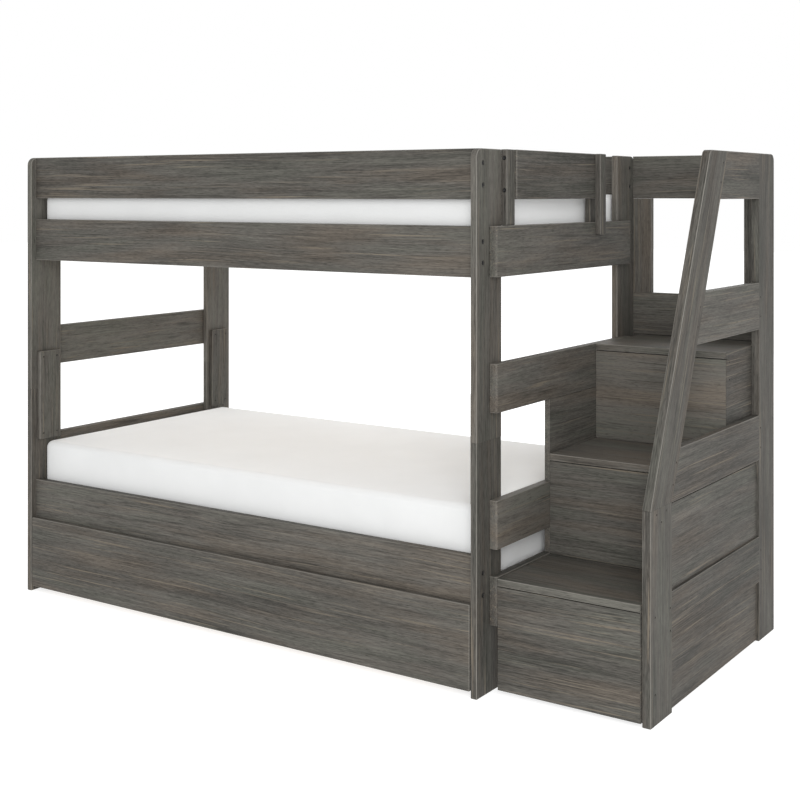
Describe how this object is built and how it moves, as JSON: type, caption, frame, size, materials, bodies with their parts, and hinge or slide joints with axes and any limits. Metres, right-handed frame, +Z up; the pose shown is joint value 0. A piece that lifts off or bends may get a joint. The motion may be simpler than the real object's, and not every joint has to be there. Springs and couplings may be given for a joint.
{
  "type": "bunk bed",
  "caption": "Wooden bunk bed of lapped planks with a staircase and handrail at one end and a low trundle on wheels under the lower bunk.",
  "frame": {"origin": "on the floor, under the middle of the footprint, stairs included", "axes": "+X along the bed towards the stairs, +Y from the front (where the trundle rolls out) to the back, +Z up"},
  "size_m": [2.5504, 1.1426, 1.654],
  "materials": {
    "stained_pine": "grey stain, satin",
    "bare_pine": "planed, unfinished",
    "ticking": "white ribbed cloth",
    "wheel_plastic": "black"
  },
  "bodies": {
    "root": {"post_lower_front_left": "stained_pine", "post_lower_front_right": "stained_pine", "post_lower_rear_left": "stained_pine", "post_lower_rear_right": "stained_pine", "post_upper_front_left": "stained_pine", "post_upper_front_right": "stained_pine", "post_upper_rear_left": "stained_pine", "post_upper_rear_right": "stained_pine", "guard_rail_front": "stained_pine", "side_rail_upper_front": "stained_pine", "side_rail_lower_front": "stained_pine", "guard_rail_rear": "stained_pine", "side_rail_upper_rear": "stained_pine", "side_rail_lower_rear": "stained_pine", "end_rail_upper_left": "stained_pine", "end_rail_upper_right": "stained_pine", "end_rail_middle_left": "stained_pine", "end_rail_middle_right": "stained_pine", "end_rail_low_a_left": "stained_pine", "end_rail_low_a_right": "stained_pine", "end_rail_low_b_left": "stained_pine", "end_rail_low_b_right": "stained_pine", "end_guard_left": "stained_pine", "stair_guard_upright": "stained_pine", "stair_guard_rail": "stained_pine", "stair_guard_clip_outer": "stained_pine", "stair_guard_clip_inner": "stained_pine", "slats_lower": "bare_pine", "slats_upper": "bare_pine", "mattress_lower": "ticking", "mattress_upper": "ticking", "tread_1": "stained_pine", "tread_2": "stained_pine", "tread_3": "stained_pine", "riser_1": "stained_pine", "riser_2": "stained_pine", "riser_3": "stained_pine", "stair_outer_panel": "stained_pine", "stair_bed_side_panel": "stained_pine", "side_post_front": "stained_pine", "side_post_rear": "stained_pine", "side_slanted_board": "stained_pine", "side_rail_top": "stained_pine", "side_rail_second": "stained_pine", "side_rail_third": "stained_pine", "side_rail_fourth": "stained_pine", "side_panel": "stained_pine", "back_panel": "stained_pine", "back_stile_left": "stained_pine", "back_stile_right": "stained_pine", "back_rail_top": "stained_pine"},
    "trundle": {"trundle_front": "stained_pine", "trundle_back": "stained_pine", "trundle_side_left": "stained_pine", "trundle_side_right": "stained_pine", "trundle_slats": "bare_pine"},
    "wheel_front_left": {"wheel_front_left": "wheel_plastic"},
    "wheel_front_right": {"wheel_front_right": "wheel_plastic"},
    "wheel_rear_left": {"wheel_rear_left": "wheel_plastic"},
    "wheel_rear_right": {"wheel_rear_right": "wheel_plastic"}
  },
  "joints": [
    {"name": "trundle_roll_out", "type": "slide", "parent": "root", "child": "trundle", "axis": [0, -1, 0], "range_m": [0, 0.78]},
    {"name": "wheel_front_left_spin", "type": "hinge", "parent": "trundle", "child": "wheel_front_left", "pos_m": [-1.16525, -0.42125, 0.03], "axis": [1, 0, 0], "continuous": true},
    {"name": "wheel_front_right_spin", "type": "hinge", "parent": "trundle", "child": "wheel_front_right", "pos_m": [0.67075, -0.42125, 0.03], "axis": [1, 0, 0], "continuous": true},
    {"name": "wheel_rear_left_spin", "type": "hinge", "parent": "trundle", "child": "wheel_rear_left", "pos_m": [-1.16525, 0.32875, 0.03], "axis": [1, 0, 0], "continuous": true},
    {"name": "wheel_rear_right_spin", "type": "hinge", "parent": "trundle", "child": "wheel_rear_right", "pos_m": [0.67075, 0.32875, 0.03], "axis": [1, 0, 0], "continuous": true}
  ],
  "couplings": [
    {"joint": "wheel_front_left_spin", "follows": "trundle_roll_out", "rad_per_m": 33.333},
    {"joint": "wheel_front_right_spin", "follows": "trundle_roll_out", "rad_per_m": 33.333},
    {"joint": "wheel_rear_left_spin", "follows": "trundle_roll_out", "rad_per_m": 33.333},
    {"joint": "wheel_rear_right_spin", "follows": "trundle_roll_out", "rad_per_m": 33.333}
  ]
}
